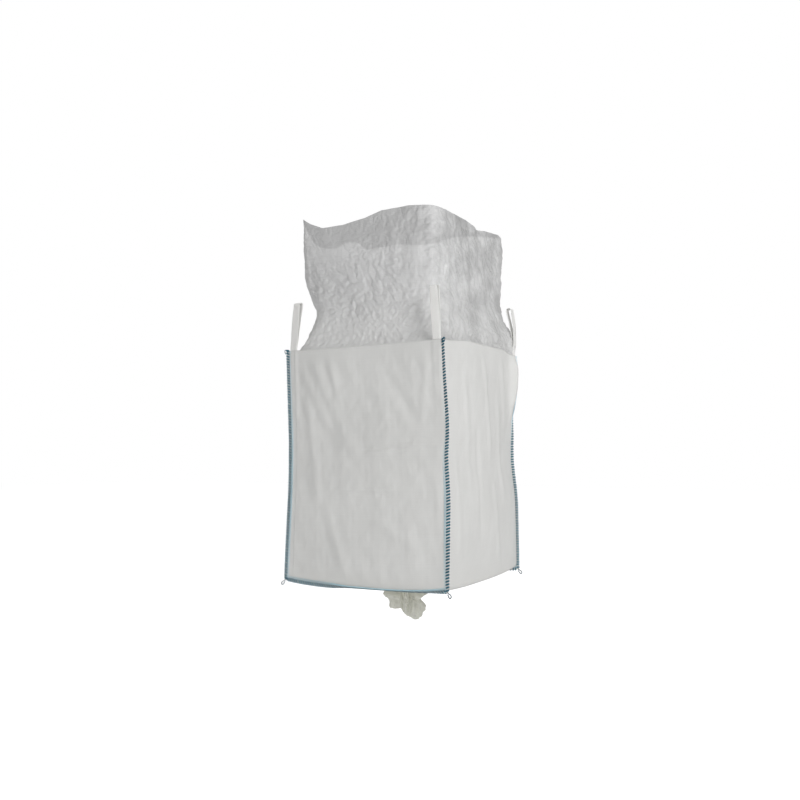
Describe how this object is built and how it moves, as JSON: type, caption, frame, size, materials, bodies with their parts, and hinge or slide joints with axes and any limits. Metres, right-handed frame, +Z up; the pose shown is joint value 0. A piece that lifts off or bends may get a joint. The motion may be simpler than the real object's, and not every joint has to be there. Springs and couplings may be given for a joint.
{
  "type": "bulk bag",
  "caption": "Woven bulk bag with an open skirt top, corner lifting loops, overlocked seams and a tied discharge spout, hanging empty from its loops.",
  "frame": {"origin": "the lifting point: level with the insides of the loop tops, over the middle of the bag", "axes": "+Z up, +X along the front panel towards the viewer's right, -Y out of the front panel"},
  "size_m": [0.9574, 0.9167, 2.025],
  "materials": {
    "woven_cloth": "woven tape, satin",
    "thin_cloth": "thin coated woven tape, crinkled, translucent",
    "webbing": "ribbed webbing",
    "blue_thread": "twisted thread",
    "pale_thread": "twisted thread"
  },
  "bodies": {
    "bag": {"u_panel": "woven_cloth", "side_panel_front": "woven_cloth", "side_panel_back": "woven_cloth", "corner_seam_front_left": "blue_thread", "corner_seam_front_right": "blue_thread", "corner_seam_back_left": "blue_thread", "corner_seam_back_right": "blue_thread", "bottom_seam_front": "blue_thread", "bottom_seam_back": "blue_thread", "thread_tail_front_left": "pale_thread", "thread_tail_front_right": "pale_thread", "thread_tail_back_left": "pale_thread", "thread_tail_back_right": "pale_thread", "loop_legs_front_left": "webbing", "loop_legs_front_right": "webbing", "loop_legs_back_left": "webbing", "loop_legs_back_right": "webbing", "skirt_seam": "pale_thread", "spout_seam": "pale_thread", "spout_gather": "thin_cloth", "spout_tie": "webbing"},
    "loop_front_left": {"lifting_loop_front_left": "webbing"},
    "loop_front_right": {"lifting_loop_front_right": "webbing"},
    "loop_back_left": {"lifting_loop_back_left": "webbing"},
    "loop_back_right": {"lifting_loop_back_right": "webbing"},
    "skirt": {"top_skirt": "thin_cloth"},
    "spout_end": {"spout_bundle": "thin_cloth"}
  },
  "joints": [
    {"name": "loop_swing_front_left", "type": "hinge", "parent": "bag", "child": "loop_front_left", "pos_m": [-0.419, -0.4442, -0.23], "axis": [1, 0, 0], "range_deg": [-5, 130]},
    {"name": "loop_swing_front_right", "type": "hinge", "parent": "bag", "child": "loop_front_right", "pos_m": [0.419, -0.4442, -0.23], "axis": [1, 0, 0], "range_deg": [-5, 130]},
    {"name": "loop_swing_back_left", "type": "hinge", "parent": "bag", "child": "loop_back_left", "pos_m": [-0.4442, 0.419, -0.23], "axis": [0, -1, 0], "range_deg": [-5, 130]},
    {"name": "loop_swing_back_right", "type": "hinge", "parent": "bag", "child": "loop_back_right", "pos_m": [0.4442, 0.419, -0.23], "axis": [0, 1, 0], "range_deg": [-5, 130]},
    {"name": "skirt_tuck", "type": "slide", "parent": "bag", "child": "skirt", "axis": [0, 0, -1], "range_m": [0, 1.1]},
    {"name": "spout_swing", "type": "hinge", "parent": "bag", "child": "spout_end", "pos_m": [0, 0, -1.462], "axis": [1, 0, 0], "range_deg": [-30, 30]}
  ]
}
